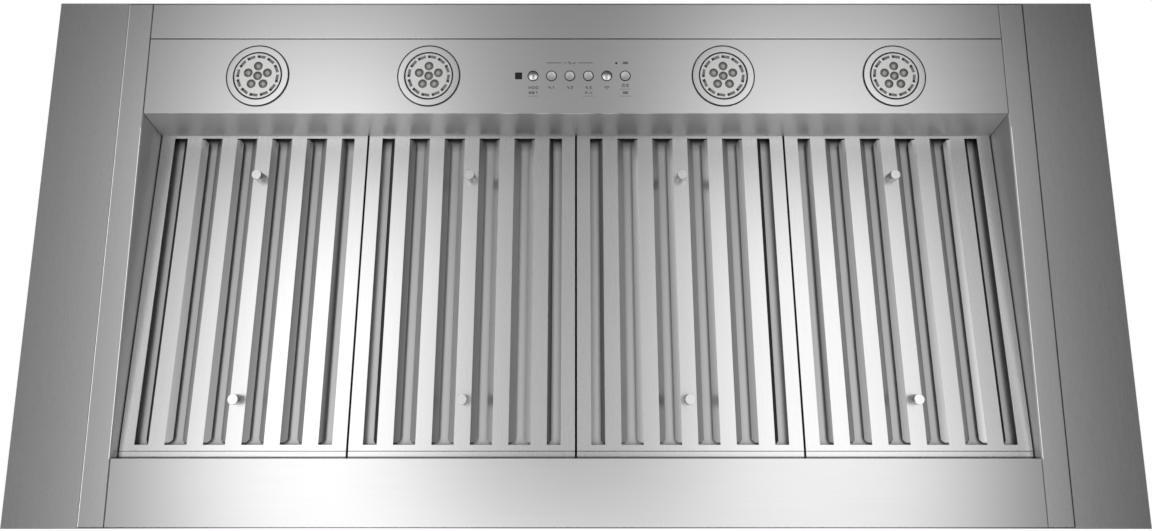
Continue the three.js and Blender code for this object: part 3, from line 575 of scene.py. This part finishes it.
def add_gasket(number):
    """Black lip that closes the groove between the lamp and its ring."""
    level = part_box(f"lamp_{number}")[0].z - UNDERSIDE - HAIR
    lap, proud, clear, depth = 0.8 * MM, 0.15 * MM, 0.05 * MM, 1.2 * MM
    inner, outer = LAMP_RADIUS - lap, LAMP_RADIUS + GROOVE - clear
    lip = [
        (inner, level),
        (inner, level - 0.08 * MM),
        (inner + 0.2 * MM, level - proud),
        (outer - 0.1 * MM, level - proud),
        (outer, level - 0.05 * MM),
        (outer, level + depth),
        (LAMP_RADIUS + clear, level + depth),
        (LAMP_RADIUS + clear, level),
    ]
    spun(f"lamp_gasket_{number}", lip, [], on_underside(f"lamp_{number}"), [rubber], "hood")


def round_places(count, radius, turn):
    out = Matrix.Translation((radius, 0, 0))
    for i in range(count):
        yield Matrix.Rotation(2 * math.pi * i / count + turn, 4, "Z") @ out


def lamp_face(number):
    """The place in the middle of the lamp's face, which lies a little inside its rim."""
    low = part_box(f"lamp_{number}")[0]
    return Matrix.Translation((*middle(f"lamp_{number}").xy, low.z + 0.5 * MM))


def add_lenses(number):
    """Domes in dark collars, one over each of the lamp's wells."""
    bm = bmesh.new()
    shade = bm.verts.layers.float.new("from_middle")
    collar = LENS_RADIUS + 0.35 * MM
    dome = LENS_RADIUS - 0.3 * MM
    foot, foot_end = LENS_RADIUS - 0.5 * MM, 1.2 * MM
    rise, sunk = 1.1 * MM, 0.7 * MM
    steps = 8
    turns = [math.pi / 2 * i / steps for i in range(steps + 1)]
    profile = [
        *((dome * math.sin(t), sunk - rise * math.cos(t)) for t in turns),
        (dome + 0.1 * MM, -0.1 * MM),
        (collar - 0.1 * MM, -0.25 * MM),
        (collar, -0.15 * MM),
        (collar, -HAIR),
        (foot, -HAIR),
        (foot, foot_end),
        (0, foot_end),
    ]
    for spot in [Matrix.Identity(4), *round_places(LENS_COUNT, LENS_CIRCLE, -math.pi / 2)]:
        place = lamp_face(number) @ spot
        before = len(bm.verts)
        lathe(bm, profile, place, LENS_FACETS, dark=range(steps, len(profile)))
        bm.verts.ensure_lookup_table()
        for vert in bm.verts[before:]:
            vert[shade] = min((vert.co - place.translation).xy.length / dome, 1)
    name = f"lamp_lenses_{number}"
    lenses = add_object(name, bm, [lens_finish, collar_grey], "hood", smooth_angle=50)


def add_vent_ribs(number):
    """Ribs on each vent's floor; the end that faces the hood's left end is painted black, a painted
    shadow in the vent.
    """
    clear, black_part = 0.05 * MM, 3.2 * MM
    width, half = VENT_WIDTH - 2 * clear, VENT_LENGTH / 2 - clear
    floor_at = VENT_DEPTH - HAIR
    floor_near, black_near, rib_near = 0.9 * MM, 1.35 * MM, 0.15 * MM
    ribs_end = half - black_part
    ribs, rib_share = 4, 0.45
    pitch = (half + ribs_end) / ribs
    blocks = [  # from, to, nearest and furthest level in the vent, black: painted shade
        (-half, ribs_end, floor_near, floor_at, 0),
        (ribs_end, half, black_near, floor_at, 1),
    ]
    for i in range(ribs):
        start = -half + (i + 0.5) * pitch
        blocks.append((start, start + pitch * rib_share, rib_near, floor_near, 0))
    bm = bmesh.new()
    for spot in round_places(VENT_COUNT, VENT_CIRCLE, VENT_TURN):
        flip = 1 if spot.translation.y > 0 else -1  # the end towards -X
        for low, high, near, far, black in blocks:
            shape = Matrix.Diagonal((width, high - low, far - near, 1))
            in_vent = Matrix.Translation((0, flip * (low + high) / 2, (near + far) / 2))
            place = lamp_face(number) @ spot @ in_vent @ shape
            made = bmesh.ops.create_cube(bm, size=1, matrix=place)
            for face in {face for vert in made["verts"] for face in vert.link_faces}:
                face.material_index = black
    vents = add_object(f"lamp_vent_ribs_{number}", bm, [vent_grey, vent_painted_shade], "hood")


for number in LAMPS:
    add_holder(number)
    add_gasket(number)
    add_lenses(number)
    add_vent_ribs(number)


# ---------------------------------------------------------------- buttons and knobs

CAP_RADIUS = 6.0 * MM
COLLAR_RADIUS = 8.55 * MM
CAP_PROUD = 1.2 * MM
BEHIND_SHEET = SHEET + FIT
COLLAR_END = BEHIND_SHEET + 1.2 * MM
STEM_RADIUS = 2.5 * MM
SOFT_EDGE = 0.3 * MM  # radius of the edges of caps and knobs
DOME_SUNK, DOME_RISE, DISH_DEPTH = 0.9 * MM, 1.1 * MM, 0.5 * MM
DOMED = ("power", "light")
BUTTONS = ("power", "speed_1", "speed_2", "speed_3", "light", "filter_reset")


def add_button(name):
    """Turned cap with a softened edge, on the dark collar and stem behind the fascia."""
    node = f"button_{name}"
    stem_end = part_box(node)[1].z - UNDERSIDE
    if name in DOMED:
        edge, swell, metal = DOME_SUNK - CAP_PROUD, DOME_RISE, button_metal
    else:
        edge, swell, metal = -CAP_PROUD, -DISH_DEPTH, button_satin
    flat = CAP_RADIUS - SOFT_EDGE
    steps = 10
    bright = [
        *((flat * i / steps, edge - swell * (1 - (i / steps) ** 2)) for i in range(steps + 1)),
        *arc((flat, edge + SOFT_EDGE), SOFT_EDGE, -90, 0, 4)[1:],
    ]
    dark = [
        (CAP_RADIUS, BEHIND_SHEET),
        (COLLAR_RADIUS, BEHIND_SHEET),
        (COLLAR_RADIUS, COLLAR_END),
        (STEM_RADIUS, COLLAR_END),
        (STEM_RADIUS, stem_end),
        (0, stem_end),
    ]
    body = "power_button" if name == "power" else f"{name}_button"
    place = on_underside(node)
    cap = spun(f"cap_{name}", bright, dark, place, [metal, rubber], body, CAP_FACETS, smooth_angle=40)
    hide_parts(node)


for name in BUTTONS:
    add_button(name)


def add_filter_knob(number, end):
    """Turned knob with a softened edge round its tip; its side takes a darker copy of the steel,
    painted shade.
    """
    node = f"filter_{number}_{end}_knob"
    levels = [v.co.dot(FILTER_UP) for v in NODES[node].data.vertices]
    length = max(levels) - min(levels)
    radius = radius_of(node)
    tip = [(0, 0), *arc((radius - SOFT_EDGE, SOFT_EDGE), SOFT_EDGE, -90, 0, 4)]
    side = [(radius, length), (0, length)]
    turn = FILTER_UP.to_track_quat("Z", "Y").to_matrix().to_4x4()
    place = Matrix.Translation(middle(node) - FILTER_UP * length / 2) @ turn
    name, body = f"knob_{number}_{end}", f"filter_{number}"
    knob = spun(name, tip, side, place, [knob_metal, knob_side_painted_shade], body, CAP_FACETS, smooth_angle=8)
    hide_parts(node)


for number in FILTERS:
    for end in ("front", "rear"):
        add_filter_knob(number, end)


# ---------------------------------------------------------------- pressed edges and painted seam shadows

EDGE_WIDTH = 0.5 * MM
CLEAR = 0.02 * MM  # between what stands on the underside and the sheet
INSET = 0.1 * MM  # of a pressed edge from its strip's own edge, and of the front shadow strip from its joint
SEAM = 0.7 * MM
SHADOW_STRIP_WIDTH, SHADOW_STRIP_THICKNESS = 1.7 * MM, 0.06 * MM
SIDE_ANGLE, FRONT_ANGLE = 10.5, 15.8  # how far the pressed edges are turned, in degrees
LEFT_RAIL, RIGHT_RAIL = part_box("side_rail_left"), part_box("side_rail_right")
FRONT_RAIL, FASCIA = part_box("front_rail"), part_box("control_fascia")


def add_pressed_edges():
    """Edges of the strips that are pressed a little out of flat and catch the light: a shallow wedge
    from one end to the other, its face turned towards the middle of the hood. Their steel is a lighter
    copy, a painted highlight on top of the light they catch."""
    seam, side = LEFT_RAIL[0].xy
    fold = LEFT_RAIL[1].x - SHEET - INSET
    wall = FASCIA[1].y
    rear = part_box("rear_rail")[0].y
    front = FRONT_RAIL[1].y - INSET - EDGE_WIDTH
    end = FRONT_RAIL[1].x
    edges = [  # start, end, the way its face turns, degrees
        ((seam, side), (seam, -side), (1, 0), SIDE_ANGLE),
        ((fold - EDGE_WIDTH, wall), (fold - EDGE_WIDTH, rear), (1, 0), SIDE_ANGLE),
        ((EDGE_WIDTH - fold, wall), (EDGE_WIDTH - fold, rear), (-1, 0), SIDE_ANGLE),
        ((-end, front), (end, front), (0, 1), FRONT_ANGLE),
    ]
    bm = bmesh.new()
    for start, stop, turn, angle in edges:
        over = Vector((*turn, 0)) * EDGE_WIDTH
        down = Vector((0, 0, -EDGE_WIDTH * math.tan(math.radians(angle))))
        ends = []
        for spot in (start, stop):
            foot = Vector((*spot, UNDERSIDE - CLEAR))
            ends.append([bm.verts.new(corner) for corner in (foot, foot + over, foot + down)])
        for i in range(3):
            j = (i + 1) % 3
            bm.faces.new((ends[0][i], ends[0][j], ends[1][j], ends[1][i]))
        bm.faces.new(ends[0])
        bm.faces.new(ends[1])
    add_object("pressed_edges", bm, [edge_steel_painted_highlight], "hood", smooth_angle=5)


def add_seam_shadow_strips():
    """Black strips in the seams behind the front rail and along the right rail: painted shadow in the
    gaps.
    """
    front = (FRONT_RAIL[1].y + FASCIA[0].y) / 2 + INSET
    side = RIGHT_RAIL[1].x + SEAM / 2
    bm = bmesh.new()
    for spot, size in (
        ((0, front), (2 * FRONT_RAIL[1].x, SHADOW_STRIP_WIDTH)),
        ((side, 0), (SHADOW_STRIP_WIDTH, 2 * RIGHT_RAIL[1].y)),
    ):
        shape = Matrix.Diagonal((*size, SHADOW_STRIP_THICKNESS, 1))
        place = Matrix.Translation((*spot, UNDERSIDE - CLEAR - SHADOW_STRIP_THICKNESS / 2))
        bmesh.ops.create_cube(bm, size=1, matrix=place @ shape)
    add_object("seam_shadow_strips", bm, [rubber], "hood")


add_pressed_edges()
add_seam_shadow_strips()


# ---------------------------------------------------------------- printed marks

STROKE = 0.8 * MM
INK_DEPTH = 0.04 * MM
FROM_BELOW = Matrix.Diagonal((1, -1, -1, 1))  # for someone below the hood, up is -Y
UNDER, BELOW, LOWEST = -15.7, -22.6, -27.3  # rows of marks under the buttons, in millimetres
FILTER_UNDER, FILTER_NEXT = -13, -17.9  # rows that only the last button has
OVER = 17.7

ink = plain("printing_ink", (0.045, 0.045, 0.047), 0.5)


def ring_line(radius, start=0, end=360, centre=(0, 0)):
    """A round line, in millimetres; angles in degrees, from the right."""
    return arc(centre, radius, start, end, 20)


def shifted(lines, right, up=0):
    return [[(u + right, v + up) for u, v in line] for line in lines]


# Each mark is a list of lines in millimetres, right and up as someone below the hood reads them.
ONE = [[(-0.9, 0.9), (0.1, 1.7), (0.1, -1.7)]]
TWO = [[(-1, 0.9), (-0.6, 1.55), (0.5, 1.65), (1, 1), (0.8, 0.2), (-1, -1.6), (1.1, -1.6)]]
THREE = [[
    (-1, 1.4), (-0.2, 1.7), (0.8, 1.4), (0.8, 0.5), (0, 0.1),
    (0.9, -0.4), (0.9, -1.3), (0, -1.7), (-1, -1.4),
]]
ON_OFF = [
    [(-5.4, -1.6), (-5.4, 1.6)],
    [(-3.9, -1.7), (-2.5, 1.7)],
    ring_line(1.5),
    *shifted([ring_line(1.7, 125, 415), [(0, 0.5), (0, 2.1)]], 5),
]
BULB = [ring_line(1.4, -50, 230), [(-0.6, -1.7), (0.6, -1.7)], [(-0.4, -2.3), (0.4, -2.3)]]
RAYS = [[(-3.3, 0), (-2.2, 0)], [(2.2, 0), (3.3, 0)], [(-2.7, 2), (-1.9, 1.2)], [(2.7, 2), (1.9, 1.2)]]
TURNED = [ring_line(1.7, 60, 370), [(0.5, 2.6), (1.2, 1.5), (0, 0.9)]]
CLOCK = [ring_line(1.2), [(0, 0.8), (0, 0), (0.6, 0)]]
FASTER = [[(-1.6, 1.1), (-0.5, 0), (-1.6, -1.1)], [(0.1, 1.1), (1.2, 0), (0.1, -1.1)]]
BARS = [[(i * 1.5, -1.6), (i * 1.5, -0.6 + i * 1.1)] for i in range(3)]
BLOWING = [[(-1.8, v), (1.8, v)] for v in (-1.1, 0, 1.1)]
FAN = [
    ring_line(0.9, 0, 180, (-0.9, 0)),
    ring_line(0.9, 120, 300, (0.45, 0.8)),
    ring_line(0.9, 240, 420, (0.45, -0.8)),
]
GRILLE = [
    [(-3, -1.2), (3, -1.2), (3, 1.2), (-3, 1.2), (-3, -1.2)],
    *([(u, -1.2), (u, 1.2)] for u in (-1.5, 0, 1.5)),
]
HELD = [[(u - 0.5, 0), (u + 0.5, 0)] for u in (-6, -4, -2, 0, 2, 4, 6)]  # hold the button down

LABELS = [  # button, right, up, lines
    ("power", 0, UNDER, ON_OFF),
    ("power", 0, BELOW, shifted(CLOCK, -3.8) + shifted(BLOWING, 0.4) + shifted(ONE, 5.2)),
    ("power", 0, LOWEST, HELD),
    ("speed_1", 0, UNDER, shifted(FAN, -2) + shifted(ONE, 2.6)),
    ("speed_2", 0, UNDER, shifted(FAN, -2) + shifted(TWO, 2.6)),
    ("speed_3", 0, UNDER, shifted(FAN, -2) + shifted(THREE, 2.6)),
    ("speed_3", 0, BELOW, shifted(FASTER, -2.6) + shifted(BARS, 1.6)),
    ("speed_3", 0, LOWEST, HELD),
    ("light", 0, UNDER, BULB + RAYS),
    ("filter_reset", 0, FILTER_UNDER, shifted(TURNED, -2.6) + shifted(TURNED, 2.6)),
    ("filter_reset", 0, FILTER_NEXT, HELD),
    ("filter_reset", 0, BELOW, GRILLE),
    ("filter_reset", 0, LOWEST, HELD),
    ("filter_reset", 0.4, OVER, GRILLE),
    ("speed_2", -0.5, OVER, FAN + shifted(BARS, 4) + [[(-7.5, 0), (-4, 0)]]),
    ("speed_2", -0.5, OVER, [[(-30.4, 0), (-11, 0)], [(11, 0), (30.4, 0)]]),
]


def add_marks():
    bm = bmesh.new()
    for button, right, up, lines in LABELS:
        place = on_underside(f"button_{button}") @ FROM_BELOW
        for line in shifted(lines, right, up):
            slab(bm, [(u * MM, v * MM) for u, v in line], STROKE, place, INK_DEPTH)
    add_object("printed_marks", bm, [ink], "hood")


add_marks()


# ---------------------------------------------------------------- studio

FLOOR_LEVEL = UNDERSIDE - 1.75
FLOOR_HALF = 7.0


def add_floor():
    sides = ((-1, -1), (1, -1), (1, 1), (-1, 1))
    corners = [(x * FLOOR_HALF, y * FLOOR_HALF, FLOOR_LEVEL) for x, y in sides]
    mesh = bpy.data.meshes.new("floor")
    mesh.from_pydata(corners, [], [(0, 1, 2, 3)])
    mesh.materials.append(plain("floor_pale", (0.64,) * 3, 0.7, grain=30, spread=0.04, depth=0.2))
    floor = bpy.data.objects.new("floor", mesh)
    bpy.context.scene.collection.objects.link(floor)
    # What the underside reflects is the soft boxes' doing, so the floor is left out of reflections.
    floor.visible_glossy = floor.visible_diffuse = False
    return floor


def group(name, objects):
    """A set of objects that a light is for, or leaves out."""
    members = bpy.data.collections.new(name)
    for member in objects:
        members.objects.link(member)
    return members


floor = add_floor()
all_but_floor = group("all_but_the_floor", [floor])
all_but_floor.collection_objects[0].light_linking.link_state = "EXCLUDE"


def soft_edges(light, share):
    """The light's cloth glows evenly in its middle and fades to nothing over a share of each half."""
    light.use_nodes = True
    cloth = Wiring(light.node_tree)
    place = cloth.node("ShaderNodeNewGeometry").outputs["Parametric"]
    glow = []
    for axis in ("X", "Y"):
        to_edge = cloth.math("PINGPONG", cloth.part_of(place, axis), 0.5)
        fade = cloth.node("ShaderNodeMapRange", interpolation_type="SMOOTHSTEP")
        fade.inputs["From Max"].default_value = share
        cloth.link(cloth.math("MULTIPLY", to_edge, 2), fade.inputs["Value"])
        glow.append(fade.outputs["Result"])
    cloth.link(cloth.product(*glow), cloth.tree.nodes["Emission"].inputs["Strength"])


def add_softbox(name, place, target, size, radiance, softness=0.0, spread=180, only=all_but_floor):
    """A rectangular light that isn't seen itself and lights only one group. A grid in front of it
    keeps its light within a spread, in degrees."""
    light = bpy.data.lights.new(name, "AREA")
    light.shape = "RECTANGLE"
    light.size, light.size_y = size
    light.spread = math.radians(spread)
    half = light.spread / 2
    passed_by_grid = 1 if spread == 180 else 1 - half / math.tan(half)
    light.energy = radiance * math.pi * size[0] * size[1] * passed_by_grid
    if softness:
        soft_edges(light, softness)
    lamp = bpy.data.objects.new(name, light)
    lamp.location = place
    lamp.rotation_mode = "QUATERNION"
    lamp.rotation_quaternion = (Vector(target) - Vector(place)).to_track_quat("-Z", "Y")
    lamp.visible_camera = False
    lamp.light_linking.receiver_collection = only
    bpy.context.scene.collection.objects.link(lamp)


# Soft boxes just over the floor, aimed straight up: left, right, front and rear edges, and radiance.
# They stand one above the other, because lights that overlap in one plane lose brightness.
FLOOR_BOXES = {
    "box_left": (-1.3, -0.3, -1.2, 1.5, 1.62),
    "box_left_wide": (-1.75, 0.1, -1.9, 1.9, 0.42),
    "box_right": (0.25, 1.25, -1.2, 1.5, 0.8),
    "box_right_wide": (0.05, 1.42, -1.45, 1.75, 0.92),
    "box_rear_middle": (-0.8, 0.5, 0.5, 2.0, 1.66),
    "box_front_narrow": (-0.45, 0.45, -1.6, -0.3, 0.16),
    "box_rear_narrow": (-0.4, 0.45, 0.1, 1.5, 0.25),
    "box_middle_narrow": (-0.36, 0.4, -0.5, 0.6, 0.15),
}
LOWEST_BOX, BOX_STEP = 0.04, 0.03
FLOOR_BOX_FADE = 0.65
for layer, (name, (left, right, front, rear, radiance)) in enumerate(FLOOR_BOXES.items()):
    spot = ((left + right) / 2, (front + rear) / 2)
    size = (right - left, rear - front)
    height = FLOOR_LEVEL + LOWEST_BOX + BOX_STEP * layer
    add_softbox(name, (*spot, height), (*spot, 0), size, radiance, FLOOR_BOX_FADE)

# Soft boxes with grids on the hood's four sides, about level with its top.
LEVEL_BOXES = {"front": (0, -4), "rear": (0, 4), "left": (-4, 0), "right": (4, 0)}
LEVEL_SIZE, LEVEL_BRIGHTNESS, LEVEL_SPREAD = (5.0, 2.6), 0.6, 56
for name, spot in LEVEL_BOXES.items():
    place, target = (*spot, 0.1), (0, 0, -0.1)
    add_softbox(f"level_{name}", place, target, LEVEL_SIZE, LEVEL_BRIGHTNESS, spread=LEVEL_SPREAD)

LOW_BOXES = {  # round the hood, near the floor: place, height over the floor, breadth and radiance
    "low_front": (0, -3.4, 0.65, 1.2, 0.3),
    "low_rear": (0, 3.4, 0.65, 1.2, 0.3),
    "low_left": (-2.8, 0, 0.42, 0.8, 0.85),
    "low_right": (3.4, 0, 0.65, 1.2, 0.4),
}
LOW_LENGTH = 4.0
for name, (x, y, height, breadth, radiance) in LOW_BOXES.items():
    add_softbox(name, (x, y, FLOOR_LEVEL + height), (0, 0, -0.5), (LOW_LENGTH, breadth), radiance)

# Soft boxes all round for the outer faces, which the photograph doesn't show.
OUTER = ("chimney_", "canopy_", "duct_collar", "upper_frame", "ceiling_bracket")
outer_group = group("lit_outer_faces", [node for name, node in NODES.items() if name.startswith(OUTER)])
ROUND_COUNT, ROUND_DISTANCE = 8, 4.4
HIGH_LEVEL, HIGH_SIZE = 1.2, (3.7, 3.4)
LOW_LEVEL, LOW_SIZE, LOW_BRIGHTNESS = -1.5, (3.7, 2.0), 0.22
HIGH_BRIGHTNESS = (0.3, 0.42, 0.2, 0.32)  # repeated once; unlike, so that neighbouring faces differ
for count in range(ROUND_COUNT):
    bearing = 2 * math.pi * count / ROUND_COUNT
    spot = (ROUND_DISTANCE * math.sin(bearing), ROUND_DISTANCE * math.cos(bearing))
    for name, level, size, radiance in (
        ("high", HIGH_LEVEL, HIGH_SIZE, HIGH_BRIGHTNESS[count % len(HIGH_BRIGHTNESS)]),
        ("low", LOW_LEVEL, LOW_SIZE, LOW_BRIGHTNESS),
    ):
        place, target = (*spot, level), (0, 0, level)
        add_softbox(f"round_{name}_{count}", place, target, size, radiance, only=outer_group)
TOP_HEIGHT, TOP_SIZE, TOP_BRIGHTNESS = 3.6, (7.0, 7.0), 0.35
add_softbox("round_top", (0, 0, TOP_HEIGHT), (0, 0, 0), TOP_SIZE, TOP_BRIGHTNESS, only=outer_group)

# Lights the floor alone, so that it stays pale.
SUN_ENERGY, SUN_ANGLE = 2.6, 50
sun = bpy.data.lights.new("floor_sun", "SUN")
sun.energy = SUN_ENERGY
sun.angle = math.radians(SUN_ANGLE)
floor_sun = bpy.data.objects.new("floor_sun", sun)
floor_sun.light_linking.receiver_collection = group("lit_floor", [floor])
bpy.context.scene.collection.objects.link(floor_sun)

# A dim even glow for the hood, behind a background that the camera sees as white.
AMBIENT = 0.063
world = bpy.data.worlds.new("studio")
world.use_nodes = True
sky = Wiring(world.node_tree)
ambient = sky.tree.nodes["Background"]
ambient.inputs["Color"].default_value = (1, 1, 1, 1)
ambient.inputs["Strength"].default_value = AMBIENT
seen = sky.node("ShaderNodeBackground")
seen.inputs["Color"].default_value = (1, 1, 1, 1)
mix = sky.node("ShaderNodeMixShader")
sky.link(sky.node("ShaderNodeLightPath").outputs["Is Camera Ray"], mix.inputs["Fac"])
sky.link(ambient.outputs["Background"], mix.inputs[1])
sky.link(seen.outputs["Background"], mix.inputs[2])
sky.link(mix.outputs["Shader"], sky.tree.nodes["World Output"].inputs["Surface"])
bpy.context.scene.world = world
bpy.context.scene.view_settings.view_transform = "Standard"


# ---------------------------------------------------------------- camera, looking up from below

LEAN = math.radians(11.7)  # of the view towards the controls, off straight up
CAMERA_DROP = 1.1893  # below the underside
CAMERA_BEHIND = 0.0872  # from the hood's middle, away from the controls
LENS, SENSOR = 29.28, 36  # millimetres
SHIFT = -0.1194

forward = Vector((0, -math.sin(LEAN), math.cos(LEAN)))
up = Vector((0, -math.cos(LEAN), -math.sin(LEAN)))
right = forward.cross(up)
camera_data = bpy.data.cameras.new("camera")
camera_data.lens = LENS
camera_data.sensor_width = SENSOR
camera_data.shift_y = SHIFT
camera = bpy.data.objects.new("camera", camera_data)
turn = Matrix((right, up, -forward)).transposed().to_4x4()
camera.matrix_world = Matrix.Translation((0, CAMERA_BEHIND, UNDERSIDE - CAMERA_DROP)) @ turn
bpy.context.scene.collection.objects.link(camera)
bpy.context.scene.camera = camera
